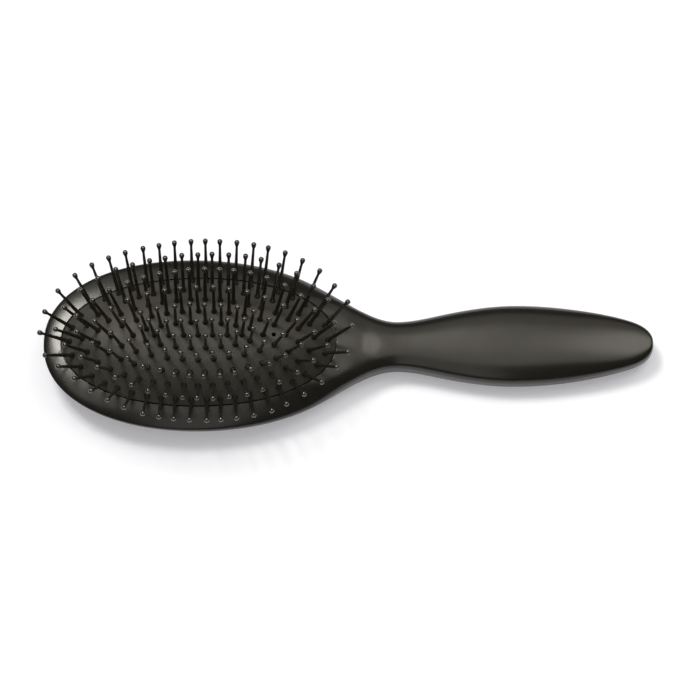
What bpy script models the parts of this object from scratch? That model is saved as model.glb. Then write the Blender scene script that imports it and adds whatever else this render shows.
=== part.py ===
"""Cushion brush: a one-piece handle, a domed rubber cushion and ball-tipped pins set in oval rings.

The brush lies on its back with the pins up. X runs along the handle, from the head to the grip's
end, Y runs across and Z is up. The model is built round the cushion's centre, at the height of the
rim's edge, and one empty then carries it all to the frame whose origin is the middle of the
footprint, on the surface that the brush rests on.
"""

import math

import bmesh
import bpy
import numpy as np
from mathutils import Vector

MM = 0.001
SMOOTH_DEGREES = 40.0

# Cushion, seen from above, and the height of its dome over the rim
CUSHION_HALF_LENGTH = 52.1 * MM
CUSHION_HALF_WIDTH = 25.5 * MM
CROWN_HEIGHT = 8.6 * MM
DOME_POWER = 2.9
LEVEL_POWER_INNER = 1.55
LEVEL_POWER_OUTER = 2.1

# Cushion's rubber: its lip in the handle, and the skin that spans the air chamber
LIP_DEPTH = 2.2 * MM
LIP_ROLL = 0.5 * MM
LIP_INNER_SHARE = 0.9
SKIN_THICKNESS = 1.2 * MM
VENT_DIAMETER = 1.6 * MM
VENT_LENGTH_SHARE = 0.547

# Rings of pins from the outside in: shares of the cushion's half sizes, and pins in each arc.
# The first arc of a ring is centred on the cushion's end away from the handle.
RING_WIDTH_SHARES = (0.925, 0.745, 0.565, 0.377, 0.2)
RING_LENGTH_SHARES = (0.935, 0.837, 0.74, 0.63, 0.47)
RING_ARC_PINS = (
    (7, 7, 7, 7, 7, 7),
    (9, 9, 9, 9),
    (8, 8, 8, 8),
    (5, 7, 5, 7),
    (3, 6, 3, 6),
)
CENTRE_ROW_PINS = 7
CENTRE_ROW_LENGTH_SHARE = 0.315
BAND_EDGE_SHARES = (0.97, 0.835, 0.655, 0.471, 0.26, 0.1)
BAND_THICKNESS = 1.2 * MM

# Pins: a flared foot, a slim shaft and a ball
PIN_LENGTH = 17.4 * MM
FOOT_RADIUS = 0.95 * MM
FOOT_HEIGHT = 1.5 * MM
FOOT_SINK = 0.6 * MM
SHAFT_RADIUS = 0.55 * MM
BALL_RADIUS = 1.0 * MM
BALL_NECK_SHARE = 0.8
PIN_SIDES = 4
LEAN_DEGREES_AT_ENDS = 31.5
LEAN_DEGREES_AT_SIDES = 42.0
LEAN_GROWTH = 0.64

# Handle's head, round the cushion
RIM_WIDTH_AT_TIP = 6.7 * MM
RIM_WIDTH_AT_SIDES = 8.45 * MM
RIM_WIDTH_AT_NECK = 10.1 * MM
RIM_EDGE = 0.6 * MM
WIDEST_SETBACK = 1.0 * MM
TIP_POWER = 2.17
FRONT_POWER = 2.0
HEAD_SECTION_POWER = 2.2
RIM_SLANT_SHARE = 0.45
HEAD_THICKNESS = 15.5 * MM
FLAT_DEPTH = 0.25 * MM

# Handle behind the head
NECK_JOIN_SHARE = 0.67
NECK_BEYOND_RIM = 12.6 * MM
NECK_WIDTH = 18.95 * MM
NECK_THICKNESS = 12.5 * MM
NECK_TO_SHOULDER = 18.6 * MM
SHOULDER_WIDTH = 25.05 * MM
SHOULDER_SLOPE = 0.21
SHOULDER_TO_GRIP = 26.4 * MM
GRIP_WIDTH = 31.45 * MM
GRIP_TO_END = 52.55 * MM
GRIP_SECTION_POWER = 2.4
GRIP_WIDTH_LOST_SHARE = 0.594
GRIP_THICKNESS_LOST_SHARE = 0.3
GRIP_CAP_POWER = 20.0

# How far the handle's widest line lies below the rim's edge, along the brush
DROP_AT_TIP = 1.8 * MM
DROP_AT_HEAD = 4.0 * MM
DROP_AT_JOIN = 5.6 * MM
DROP_AT_NECK = 8.5 * MM
DROP_AT_GRIP = 8.2 * MM
DROP_AT_END = 8.1 * MM
FALL_AT_FRONT = 0.1 * MM
FALL_AT_NECK = 1.2 * MM
BACK_RISE_AT_JOIN = 0.5 * MM

# Air chamber in the head, and the clearances
FIT_GAP = 0.5 * MM
BAND_GAP = 0.3 * MM
LEDGE_WIDTH = 3.0 * MM
CHAMBER_DEPTH = 6.0 * MM
CUT_OVERRUN = 2.0 * MM

# Fineness of the meshes
AROUND_STEPS = 30
HEAD_STEPS = 20
TAIL_STEPS = 18
TAIL_CROWDING = 1.3
TOP_ROWS = 5
BACK_ROWS = 6
FINE_STEPS = 720
VENT_SIDES = 8

# Places along X, from the cushion's centre, that follow from the sizes above
TIP_X = -(CUSHION_HALF_LENGTH + RIM_WIDTH_AT_TIP)
WIDEST_X = -WIDEST_SETBACK
FRONT_X = CUSHION_HALF_LENGTH + RIM_WIDTH_AT_NECK
BACK_LENGTH = WIDEST_X - TIP_X
FRONT_LENGTH = FRONT_X - WIDEST_X
JOIN_X = WIDEST_X + NECK_JOIN_SHARE * FRONT_LENGTH
NECK_X = FRONT_X + NECK_BEYOND_RIM
SHOULDER_X = NECK_X + NECK_TO_SHOULDER
GRIP_X = SHOULDER_X + SHOULDER_TO_GRIP
END_X = GRIP_X + GRIP_TO_END
HEAD_HALF_WIDTH = CUSHION_HALF_WIDTH + RIM_WIDTH_AT_SIDES
GRIP_HALF_THICKNESS = HEAD_THICKNESS - DROP_AT_GRIP
REST_Z = FLAT_DEPTH - HEAD_THICKNESS
LEDGE_DEPTH = LIP_DEPTH + BAND_GAP
SEAT_DEPTH = BAND_THICKNESS + BAND_GAP
SKIN_UNDER = SEAT_DEPTH + SKIN_THICKNESS


def hermite(x, x0, x1, y0, y1, slope0, slope1):
    """Cubic from (x0, y0) to (x1, y1) with the given end slopes."""
    span = x1 - x0
    t = (x - x0) / span
    rise = t * t * (3 - 2 * t)
    return (
        y0
        + (y1 - y0) * rise
        + span * slope0 * t * (1 - t) ** 2
        - span * slope1 * (1 - t) * t * t
    )


def smooth_curve(knots, x):
    """Smooth curve through the knots, level at both ends and beyond them."""
    if x <= knots[0][0]:
        return knots[0][1]
    if x >= knots[-1][0]:
        return knots[-1][1]
    slopes = [0.0]
    for before, after in zip(knots, knots[2:]):
        slopes.append((after[1] - before[1]) / (after[0] - before[0]))
    slopes.append(0.0)
    for i in range(len(knots) - 1):
        x0, y0 = knots[i]
        x1, y1 = knots[i + 1]
        if x <= x1:
            return hermite(x, x0, x1, y0, y1, slopes[i], slopes[i + 1])
    return knots[-1][1]


def rounding(share, power):
    """Height of a superellipse of unit axes at the given share of its length."""
    inside = 1.0 - min(1.0, abs(share)) ** power
    return max(0.0, inside) ** (1.0 / power)


def eased(x, start, end):
    """Share from 0 at the start to 1 at the end, level at both."""
    t = min(1.0, max(0.0, (x - start) / (end - start)))
    return t * t * (3 - 2 * t)


def grip_taper(x, lost):
    """Share of the grip's width or thickness left towards its end, which is a round cap."""
    share = min(1.0, (x - GRIP_X) / GRIP_TO_END)
    return (1.0 - lost * share * share) * math.sqrt(1.0 - share ** GRIP_CAP_POWER)


def half_width(x):
    """Half the handle's width, seen from above."""
    if x <= WIDEST_X:
        return HEAD_HALF_WIDTH * rounding((WIDEST_X - x) / BACK_LENGTH, TIP_POWER)
    if x <= JOIN_X:
        return HEAD_HALF_WIDTH * rounding((x - WIDEST_X) / FRONT_LENGTH, FRONT_POWER)
    if x <= NECK_X:
        share = NECK_JOIN_SHARE
        start = HEAD_HALF_WIDTH * rounding(share, FRONT_POWER)
        steepness = (share / rounding(share, FRONT_POWER)) ** (FRONT_POWER - 1)
        slope = -HEAD_HALF_WIDTH / FRONT_LENGTH * steepness
        return hermite(x, JOIN_X, NECK_X, start, NECK_WIDTH / 2, slope, 0.0)
    if x <= SHOULDER_X:
        widths = NECK_WIDTH / 2, SHOULDER_WIDTH / 2
        return hermite(x, NECK_X, SHOULDER_X, *widths, 0.0, SHOULDER_SLOPE)
    if x <= GRIP_X:
        widths = SHOULDER_WIDTH / 2, GRIP_WIDTH / 2
        return hermite(x, SHOULDER_X, GRIP_X, *widths, SHOULDER_SLOPE, 0.0)
    return GRIP_WIDTH / 2 * grip_taper(x, GRIP_WIDTH_LOST_SHARE)


def widest_z(x):
    """Height of the handle's widest line."""
    knots = (
        (TIP_X, -DROP_AT_TIP),
        (WIDEST_X, -DROP_AT_HEAD),
        (JOIN_X, -DROP_AT_JOIN),
        (NECK_X, -DROP_AT_NECK),
        (GRIP_X, -DROP_AT_GRIP),
        (END_X, -DROP_AT_END),
    )
    return smooth_curve(knots, x)


def back_depth(x):
    """Depth of the back's middle line below the widest line."""
    knots = (
        (WIDEST_X, HEAD_THICKNESS - DROP_AT_HEAD),
        (JOIN_X, HEAD_THICKNESS - BACK_RISE_AT_JOIN - DROP_AT_JOIN),
        (NECK_X, NECK_THICKNESS + FALL_AT_NECK - DROP_AT_NECK),
        (GRIP_X, GRIP_HALF_THICKNESS),
    )
    depth = smooth_curve(knots, x)
    if x < WIDEST_X:
        depth *= rounding((WIDEST_X - x) / BACK_LENGTH, TIP_POWER)
    if x > GRIP_X:
        depth *= grip_taper(x, GRIP_THICKNESS_LOST_SHARE)
    return depth


def front_z(x):
    """Height of the front's middle line, from the rim's edge along the neck and the grip."""
    if x > GRIP_X:
        return widest_z(x) + GRIP_HALF_THICKNESS * grip_taper(x, GRIP_THICKNESS_LOST_SHARE)
    knots = (
        (CUSHION_HALF_LENGTH + FIT_GAP + RIM_EDGE, 0.0),
        (FRONT_X, -FALL_AT_FRONT),
        (NECK_X, -FALL_AT_NECK),
        (GRIP_X, GRIP_HALF_THICKNESS - DROP_AT_GRIP),
    )
    return smooth_curve(knots, x)


def tail_stations():
    """Places along X behind the head, closer together along the outline towards the end."""
    length = END_X - FRONT_X
    fine = [END_X - length * (1 - i / FINE_STEPS) ** 2 for i in range(FINE_STEPS + 1)]
    widths = [half_width(x) for x in fine]
    lengths = np.concatenate([[0.0], np.cumsum(np.hypot(np.diff(fine), np.diff(widths)))])
    left = lengths[-1] * (1 - np.linspace(0.0, 1.0, TAIL_STEPS + 1)) ** TAIL_CROWDING
    return [float(x) for x in np.interp(lengths[-1] - left, lengths, fine)][1:-1] + [END_X]


def head_stations():
    """Places along X at even turns round the head's oval."""
    places = []
    for i in range(HEAD_STEPS + 1):
        cosine = -math.cos(math.pi * i / HEAD_STEPS)
        length = BACK_LENGTH if cosine < 0 else FRONT_LENGTH
        places.append(WIDEST_X + length * cosine)
    return places


def head_direction(x):
    """Cosine that places a point of the head's outline against the oval opening."""
    if x <= WIDEST_X:
        return (x - WIDEST_X) / BACK_LENGTH
    return min(1.0, (x - WIDEST_X) / FRONT_LENGTH)


def opening_point(cosine, offset, z):
    """Point of the oval opening, at an offset outward from the cushion's edge."""
    x = (CUSHION_HALF_LENGTH + offset) * cosine
    y = (CUSHION_HALF_WIDTH + offset) * rounding(cosine, LEVEL_POWER_OUTER)
    return x, y, z


def section_rows(x):
    """Points from the back's middle line round the side to the front, for y >= 0."""
    width = half_width(x)
    middle = widest_z(x)
    depth = back_depth(x)
    blend = min(1.0, max(0.0, (x - JOIN_X) / (SHOULDER_X - JOIN_X)))
    power = HEAD_SECTION_POWER + (GRIP_SECTION_POWER - HEAD_SECTION_POWER) * blend
    rows = []
    for j in range(BACK_ROWS + 1):
        turn = math.pi / 2 * (1 - j / BACK_ROWS)
        y = width * max(0.0, math.cos(turn)) ** (2 / power) if j else 0.0
        z = middle - depth * math.sin(turn) ** (2 / power)
        rows.append((x, y, z))
    if x <= FRONT_X:
        target = opening_point(head_direction(x), FIT_GAP + RIM_EDGE, 0.0)
    else:
        opening_end = CUSHION_HALF_LENGTH + FIT_GAP + RIM_EDGE
        lag = (FRONT_X - opening_end) * (1 - eased(x, FRONT_X, SHOULDER_X))
        target = (x - lag, 0.0, front_z(x - lag))
    slant = RIM_SLANT_SHARE * (1 - eased(x, JOIN_X, FRONT_X))
    for j in range(1, TOP_ROWS + 1):
        turn = math.pi / 2 * j / TOP_ROWS
        inward = 1 - max(0.0, math.cos(turn)) ** (2 / power) if j < TOP_ROWS else 1.0
        rise = (1 - slant) * math.sin(turn) ** (2 / power) + slant * inward
        rows.append((
            x + (target[0] - x) * inward,
            width + (target[1] - width) * inward,
            middle + (target[2] - middle) * rise,
        ))
    return rows


def recess_rows(x):
    """Points from the rim's edge down the lip's seat and over the air chamber's floor."""
    cosine = head_direction(x)
    inner = FIT_GAP - LEDGE_WIDTH
    floor = opening_point(cosine, inner, -CHAMBER_DEPTH)
    return [
        opening_point(cosine, FIT_GAP, -RIM_EDGE),
        opening_point(cosine, FIT_GAP, -LEDGE_DEPTH),
        opening_point(cosine, inner, -LEDGE_DEPTH),
        floor,
        (floor[0], 0.0, -CHAMBER_DEPTH),
    ]


class MeshBuilder:
    """Collects faces by their corner points and shares corners that coincide."""

    def __init__(self):
        self.points = []
        self.faces = []
        self.index = {}

    def corner(self, point):
        key = tuple(round(value / MM, 4) + 0.0 for value in point)
        if key not in self.index:
            self.index[key] = len(self.points)
            self.points.append(tuple(point))
        return self.index[key]

    def face(self, *corners):
        ring = []
        for point in corners:
            number = self.corner(point)
            if number not in ring:
                ring.append(number)
        if len(ring) > 2:
            self.faces.append(ring)

    def strips(self, columns, closed):
        """Quads between neighbouring columns of points."""
        pairs = list(zip(columns, columns[1:]))
        if closed:
            pairs.append((columns[-1], columns[0]))
        for left, right in pairs:
            for j in range(len(left) - 1):
                self.face(left[j], right[j], right[j + 1], left[j + 1])

    def mesh(self, name):
        mesh = bpy.data.meshes.new(name)
        mesh.from_pydata(self.points, [], self.faces)
        shape = bmesh.new()
        shape.from_mesh(mesh)
        bmesh.ops.triangulate(shape, faces=shape.faces, quad_method="FIXED")
        bmesh.ops.recalc_face_normals(shape, faces=shape.faces)
        shape.to_mesh(mesh)
        shape.free()
        return mesh


def material(name, colour, roughness):
    """Plain plastic, rubber or lacquer."""
    made = bpy.data.materials.new(name)
    made.use_nodes = True
    shader = made.node_tree.nodes["Principled BSDF"]
    shader.inputs["Base Color"].default_value = (*colour, 1.0)
    shader.inputs["Roughness"].default_value = roughness
    shader.inputs["Metallic"].default_value = 0.0
    return made


def add_object(name, mesh, look, parent):
    """Named object under its parent, shaded smooth up to the sharp edges."""
    mesh.materials.append(look)
    mesh.shade_smooth()
    mesh.set_sharp_from_angle(angle=math.radians(SMOOTH_DEGREES))
    made = bpy.data.objects.new(name, mesh)
    bpy.context.scene.collection.objects.link(made)
    made.parent = parent
    return made


def add_empty(name, location, parent):
    made = bpy.data.objects.new(name, None)
    made.location = location
    bpy.context.scene.collection.objects.link(made)
    made.parent = parent
    return made


def as_guide(made):
    """Marks an object that only shapes another one."""
    made.hide_render = True
    made.display_type = "WIRE"


def boolean(made, other, operation):
    step = made.modifiers.new(operation.lower(), "BOOLEAN")
    step.operation = operation
    step.solver = "EXACT"
    step.object = other


def make_handle(parent, look):
    """One-piece handle: head with the oval recess, neck and grip."""
    builder = MeshBuilder()
    head = head_stations()
    outer = [section_rows(x) for x in head + tail_stations()]
    inner = [section_rows(x)[-1:] + recess_rows(x) for x in head]
    for columns in (outer, inner):
        builder.strips(columns, closed=False)
        builder.strips([[(x, -y, z) for x, y, z in rows] for rows in columns], closed=False)
    handle = add_object("handle", builder.mesh("handle"), look, parent)
    cut_rest_flats(handle, parent, look)
    return handle


def cut_rest_flats(handle, parent, look):
    """Shallow flats under the head and the grip, in one plane, that the brush rests on."""
    half_width = HEAD_HALF_WIDTH + CUT_OVERRUN
    builder = MeshBuilder()
    columns = []
    for x, y in (
        (TIP_X - CUT_OVERRUN, -half_width),
        (END_X + CUT_OVERRUN, -half_width),
        (END_X + CUT_OVERRUN, half_width),
        (TIP_X - CUT_OVERRUN, half_width),
    ):
        columns.append([(x, y, REST_Z - CUT_OVERRUN), (x, y, REST_Z)])
    builder.strips(columns, closed=True)
    builder.face(*[column[0] for column in columns])
    builder.face(*[column[1] for column in columns])
    cutter = add_object("rest_cutter", builder.mesh("rest_cutter"), look, parent)
    as_guide(cutter)
    boolean(handle, cutter, "DIFFERENCE")


def level_half_length(t):
    """Half length of the dome's level curve; t is 0 on the centre row and 1 at the lip."""
    stops = (0.0,) + RING_WIDTH_SHARES[::-1] + (1.0,)
    shares = (CENTRE_ROW_LENGTH_SHARE,) + RING_LENGTH_SHARES[::-1] + (1.0,)
    return CUSHION_HALF_LENGTH * float(np.interp(t, stops, shares))


def level_point(t, turn):
    """Point of a level curve; the turn starts at the end away from the handle."""
    power = LEVEL_POWER_INNER + (LEVEL_POWER_OUTER - LEVEL_POWER_INNER) * t
    cosine = math.cos(turn)
    sine = math.sin(turn)
    x = -level_half_length(t) * math.copysign(abs(cosine) ** (2 / power), cosine)
    y = t * CUSHION_HALF_WIDTH * math.copysign(abs(sine) ** (2 / power), sine)
    return x, y


def dome_z(t):
    """Height of the dome over the rim's edge."""
    return CROWN_HEIGHT * (1 - t ** DOME_POWER)


def dome_point(t, turn, below):
    x, y = level_point(t, turn)
    return x, y, dome_z(t) - below


def full_turns():
    return [2 * math.pi * i / AROUND_STEPS for i in range(AROUND_STEPS)]


def make_cushion(parent, look):
    """Rubber cushion: a lip, a domed skin over the air chamber and seats for the bands of pins."""
    builder = MeshBuilder()
    half_gap_share = BAND_GAP / 2 / CUSHION_HALF_WIDTH
    seat_edge = BAND_EDGE_SHARES[0] + half_gap_share
    inner_edges = BAND_EDGE_SHARES[1:]
    under_edges = inner_edges[::-2] + (LIP_INNER_SHARE,)
    outside = []
    inside = []
    for turn in full_turns():
        lip_x, lip_y = level_point(1.0, turn)
        inner_x, inner_y = level_point(LIP_INNER_SHARE, turn)
        lip = [
            (inner_x, inner_y, -LIP_DEPTH),
            (lip_x, lip_y, -LIP_DEPTH),
            (lip_x, lip_y, -LIP_ROLL),
            dome_point(seat_edge, turn, 0.0),
        ]
        seats = [dome_point(t, turn, SEAT_DEPTH) for t in (seat_edge,) + inner_edges + (0.0,)]
        under = [dome_point(t, turn, SKIN_UNDER) for t in (0.0,) + under_edges]
        outside.append(lip + seats)
        inside.append(under + lip[:1])
    builder.strips(outside, closed=True)
    builder.strips(inside, closed=True)
    return add_object("cushion", builder.mesh("cushion"), look, parent)


def arc_table(t):
    """Lengths along a level curve, and the turns at which they are reached."""
    turns = np.linspace(0.0, 2 * math.pi, FINE_STEPS + 1)
    points = np.array([level_point(t, turn) for turn in turns])
    steps = np.hypot(*np.diff(points, axis=0).T)
    return np.concatenate([[0.0], np.cumsum(steps)]), turns


def turn_at(table, length):
    """Turn at a length along the curve, also before its start."""
    lengths, turns = table
    whole = math.floor(length / lengths[-1])
    rest = length - whole * lengths[-1]
    return float(np.interp(rest, lengths, turns)) + 2 * math.pi * whole


def pin_direction(x, y, t):
    """Unit vector along a pin at (x, y) on the level curve t: pins fan out towards the rim."""
    share_x = x / (CUSHION_HALF_LENGTH * RING_LENGTH_SHARES[0])
    share_y = y / (CUSHION_HALF_WIDTH * RING_WIDTH_SHARES[0])
    growth = (t / RING_WIDTH_SHARES[0]) ** LEAN_GROWTH
    lean_x = math.tan(math.radians(LEAN_DEGREES_AT_ENDS)) * share_x * abs(share_x)
    lean_y = math.tan(math.radians(LEAN_DEGREES_AT_SIDES)) * share_y * growth
    return Vector((lean_x, lean_y, 1.0)).normalized()


def add_pin(builder, x, y, z, t):
    """One pin as a closed solid whose foot starts below the band's face."""
    axis = pin_direction(x, y, t)
    base = Vector((x, y, z))
    side = axis.cross(Vector((0.0, 1.0, 0.0))).normalized()
    across = axis.cross(side)
    corner_scale = math.sqrt(2 * math.pi / (PIN_SIDES * math.sin(2 * math.pi / PIN_SIDES)))
    profile = (
        (-FOOT_SINK, FOOT_RADIUS),
        (FOOT_HEIGHT, SHAFT_RADIUS),
        (PIN_LENGTH - BALL_NECK_SHARE * BALL_RADIUS, SHAFT_RADIUS),
        (PIN_LENGTH, BALL_RADIUS),
    )
    foot = base - axis * FOOT_SINK
    top = base + axis * (PIN_LENGTH + BALL_RADIUS)
    columns = []
    for i in range(PIN_SIDES):
        turn = 2 * math.pi * (i + 0.5) / PIN_SIDES
        spoke = (side * math.cos(turn) + across * math.sin(turn)) * corner_scale
        ring = [base + axis * height + spoke * radius for height, radius in profile]
        columns.append([tuple(point) for point in [foot] + ring + [top]])
    builder.strips(columns, closed=True)


def band_mesh(name, outer, inner, turns, closed):
    """Thin band of the cushion's face between two level curves; a closed one covers the crown."""
    builder = MeshBuilder()
    columns = []
    for turn in turns:
        above = [dome_point(outer, turn, 0.0), dome_point(inner, turn, 0.0)]
        below = [dome_point(inner, turn, BAND_THICKNESS), dome_point(outer, turn, BAND_THICKNESS)]
        columns.append(above + below)
    if closed:
        for first, last in ((0, 2), (2, 4)):
            builder.strips([column[first:last] for column in columns], closed=True)
        builder.strips([[column[0], column[-1]] for column in columns], closed=True)
        return builder.mesh(name)
    builder.strips([column + column[:1] for column in columns], closed=False)
    builder.face(*columns[0])
    builder.face(*columns[-1])
    return builder.mesh(name)


def add_pin_group(name, mesh, pins, t, look, parent):
    """Band with its pins, joined into one solid."""
    builder = MeshBuilder()
    for x, y, z in pins:
        add_pin(builder, x, y, z, t)
    shafts = add_object(name + "_shafts", builder.mesh(name + "_shafts"), look, parent)
    as_guide(shafts)
    band = add_object(name, mesh, look, parent)
    boolean(band, shafts, "UNION")
    return band


def make_ring(number, parent, look):
    """One oval ring of pins, cut into arcs."""
    index = number - 1
    t = RING_WIDTH_SHARES[index]
    half_gap_share = BAND_GAP / 2 / CUSHION_HALF_WIDTH
    outer = BAND_EDGE_SHARES[index] - half_gap_share
    inner = BAND_EDGE_SHARES[index + 1] + half_gap_share
    arcs = RING_ARC_PINS[index]
    table = arc_table(t)
    pitch = table[0][-1] / sum(arcs)
    inset = BAND_GAP / 2 * t / inner
    step = 2 * math.pi / AROUND_STEPS
    start = -arcs[0] * pitch / 2
    made = []
    for arc_number, count in enumerate(arcs, start=1):
        end = start + count * pitch
        first = turn_at(table, start + inset)
        last = turn_at(table, end - inset)
        between = [
            step * k
            for k in range(math.ceil(first / step), math.floor(last / step) + 1)
            if first + step / 3 < step * k < last - step / 3
        ]
        turns = [first] + between + [last]
        name = f"pins_ring_{number}_arc_{arc_number}"
        mesh = band_mesh(name, outer, inner, turns, closed=False)
        places = [turn_at(table, start + (i + 0.5) * pitch) for i in range(count)]
        pins = [dome_point(t, turn, 0.0) for turn in places]
        made.append(add_pin_group(name, mesh, pins, t, look, parent))
        start = end
    return made


def make_centre_row(parent, look):
    """Single row of pins along the crown."""
    edge = BAND_EDGE_SHARES[-1] - BAND_GAP / 2 / CUSHION_HALF_WIDTH
    mesh = band_mesh("pins_centre_row", edge, 0.0, full_turns(), closed=True)
    half = CENTRE_ROW_LENGTH_SHARE * CUSHION_HALF_LENGTH
    places = [half * (2 * i / (CENTRE_ROW_PINS - 1) - 1) for i in range(CENTRE_ROW_PINS)]
    pins = [(x, 0.0, CROWN_HEIGHT) for x in places]
    return add_pin_group("pins_centre_row", mesh, pins, 0.0, look, parent)


def cut_vent(parent, look, pieces):
    """Air hole on the centre line, towards the handle."""
    builder = MeshBuilder()
    centre_x = VENT_LENGTH_SHARE * CUSHION_HALF_LENGTH
    low = -LIP_DEPTH
    high = CROWN_HEIGHT + CUT_OVERRUN
    columns = []
    for i in range(VENT_SIDES):
        turn = 2 * math.pi * (i + 0.5) / VENT_SIDES
        x = centre_x + VENT_DIAMETER / 2 * math.cos(turn)
        y = VENT_DIAMETER / 2 * math.sin(turn)
        columns.append([(centre_x, 0.0, low), (x, y, low), (x, y, high), (centre_x, 0.0, high)])
    builder.strips(columns, closed=True)
    cutter = add_object("vent_cutter", builder.mesh("vent_cutter"), look, parent)
    as_guide(cutter)
    for piece in pieces:
        boolean(piece, cutter, "DIFFERENCE")


def bounds(pieces):
    """Lowest and highest corners of the meshes, before the frame is moved."""
    corners = np.array([tuple(v.co) for piece in pieces for v in piece.data.vertices])
    return corners.min(axis=0), corners.max(axis=0)


def main():
    for old in list(bpy.data.objects):
        bpy.data.objects.remove(old, do_unlink=True)
    lacquer = material("handle_lacquer", (0.052, 0.049, 0.041), 0.42)
    rubber = material("cushion_rubber", (0.046, 0.044, 0.038), 0.6)
    nylon = material("pin_nylon", (0.011, 0.0105, 0.009), 0.25)
    frame = add_empty("brush_frame", (0.0, 0.0, 0.0), None)
    handle = make_handle(frame, lacquer)
    cushion = make_cushion(frame, rubber)
    rings = {}
    for number in range(1, len(RING_ARC_PINS) + 1):
        slide = add_empty(f"ring_{number}_slide", (0.0, 0.0, 0.0), frame)
        rings[number] = make_ring(number, slide, nylon)
    slide = add_empty("centre_row_slide", (0.0, 0.0, 0.0), frame)
    make_centre_row(slide, nylon)
    vent_ring = len(RING_ARC_PINS) - 1
    cut_vent(frame, rubber, [cushion, rings[vent_ring][2]])
    cutters = ("vent_cutter", "rest_cutter")
    meshes = [made for made in bpy.data.objects if made.type == "MESH" and made.name not in cutters]
    low, high = bounds(meshes)
    low[2] = REST_Z
    frame.location = (-(low[0] + high[0]) / 2, -(low[1] + high[1]) / 2, -low[2])
    bpy.context.view_layer.update()
    print("frame offset", [round(v, 6) for v in frame.location])
    print("size", [round(float(v), 6) for v in high - low])
    print("pins", sum(map(sum, RING_ARC_PINS)) + CENTRE_ROW_PINS)
    for number, t in enumerate(RING_WIDTH_SHARES, start=1):
        share = round(dome_z(t) / CROWN_HEIGHT, 5)
        print("ring", number, "height over rim", round(dome_z(t), 6), "share", share)


main()
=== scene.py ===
"""Looks of the cushion brush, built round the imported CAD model.

The CAD solids are faceted, so the handle, the cushion and the pins are built again here with fine
meshes, from the same curves and with a few details of their own: a satin lacquered handle, a
ribbed rubber cushion in one skin, and round tapered pins. Sizes are in metres. The construction
frame has its origin at the cushion's centre, at the height of the rim's edge, and the CAD model's
box says where that lies.
"""

import math
import random

import bmesh
import bpy
import numpy as np
from mathutils import Matrix, Vector


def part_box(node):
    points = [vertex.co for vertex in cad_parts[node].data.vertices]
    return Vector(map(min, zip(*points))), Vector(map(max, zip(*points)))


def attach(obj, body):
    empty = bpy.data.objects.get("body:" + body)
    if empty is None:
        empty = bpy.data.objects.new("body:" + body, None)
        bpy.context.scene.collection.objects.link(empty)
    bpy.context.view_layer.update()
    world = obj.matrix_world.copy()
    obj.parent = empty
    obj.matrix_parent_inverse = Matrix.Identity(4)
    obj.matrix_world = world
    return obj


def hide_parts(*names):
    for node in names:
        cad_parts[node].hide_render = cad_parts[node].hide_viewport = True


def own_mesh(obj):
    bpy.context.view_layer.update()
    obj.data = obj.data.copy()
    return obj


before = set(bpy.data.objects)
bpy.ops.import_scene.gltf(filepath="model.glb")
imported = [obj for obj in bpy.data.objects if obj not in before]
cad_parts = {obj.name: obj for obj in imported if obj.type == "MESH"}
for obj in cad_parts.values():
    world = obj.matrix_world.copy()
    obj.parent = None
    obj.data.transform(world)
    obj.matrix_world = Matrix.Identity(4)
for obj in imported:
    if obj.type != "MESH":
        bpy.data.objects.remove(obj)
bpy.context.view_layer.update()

MM = 0.001

# Cushion and pins, as in the CAD source
CUSHION_HALF_LENGTH = 52.1 * MM
CUSHION_HALF_WIDTH = 25.5 * MM
CROWN_HEIGHT = 8.6 * MM
DOME_POWER = 2.9
LEVEL_POWER_INNER = 1.55
LEVEL_POWER_OUTER = 2.1
RING_WIDTH_SHARES = (0.925, 0.745, 0.565, 0.377, 0.2)
RING_LENGTH_SHARES = (0.935, 0.837, 0.74, 0.63, 0.47)
RING_ARC_PINS = (
    (7, 7, 7, 7, 7, 7),
    (9, 9, 9, 9),
    (8, 8, 8, 8),
    (5, 7, 5, 7),
    (3, 6, 3, 6),
)
CENTRE_ROW_PINS = 7
CENTRE_ROW_LENGTH_SHARE = 0.315
LEAN_DEGREES_AT_ENDS = 31.5
LEAN_DEGREES_AT_SIDES = 42.0
LEAN_GROWTH = 0.64
VENT_LENGTH_SHARE = 0.547
VENT_DIAMETER = 1.6 * MM

# Handle, as in the CAD source
RIM_WIDTH_AT_TIP = 6.7 * MM
RIM_WIDTH_AT_SIDES = 8.45 * MM
RIM_WIDTH_AT_NECK = 10.1 * MM
WIDEST_SETBACK = 1.0 * MM
TIP_POWER = 2.17
FRONT_POWER = 2.0
HEAD_SECTION_POWER = 2.2
RIM_SLANT_SHARE = 0.45
HEAD_THICKNESS = 15.5 * MM
FLAT_DEPTH = 0.25 * MM
NECK_JOIN_SHARE = 0.67
NECK_BEYOND_RIM = 12.6 * MM
NECK_WIDTH = 18.95 * MM
NECK_THICKNESS = 12.5 * MM
NECK_TO_SHOULDER = 18.6 * MM
SHOULDER_WIDTH = 25.05 * MM
SHOULDER_SLOPE = 0.21
SHOULDER_TO_GRIP = 26.4 * MM
GRIP_WIDTH = 31.45 * MM
GRIP_TO_END = 52.55 * MM
GRIP_SECTION_POWER = 2.4
GRIP_WIDTH_LOST_SHARE = 0.594
GRIP_THICKNESS_LOST_SHARE = 0.3
GRIP_CAP_POWER = 20.0
DROP_AT_TIP = 1.8 * MM
DROP_AT_HEAD = 4.0 * MM
DROP_AT_JOIN = 5.6 * MM
DROP_AT_NECK = 8.5 * MM
DROP_AT_GRIP = 8.2 * MM
DROP_AT_END = 8.1 * MM
FALL_AT_FRONT = 0.1 * MM
FALL_AT_NECK = 1.2 * MM
BACK_RISE_AT_JOIN = 0.5 * MM
LEDGE_WIDTH = 3.0 * MM
LEDGE_DEPTH = 2.5 * MM
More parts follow.
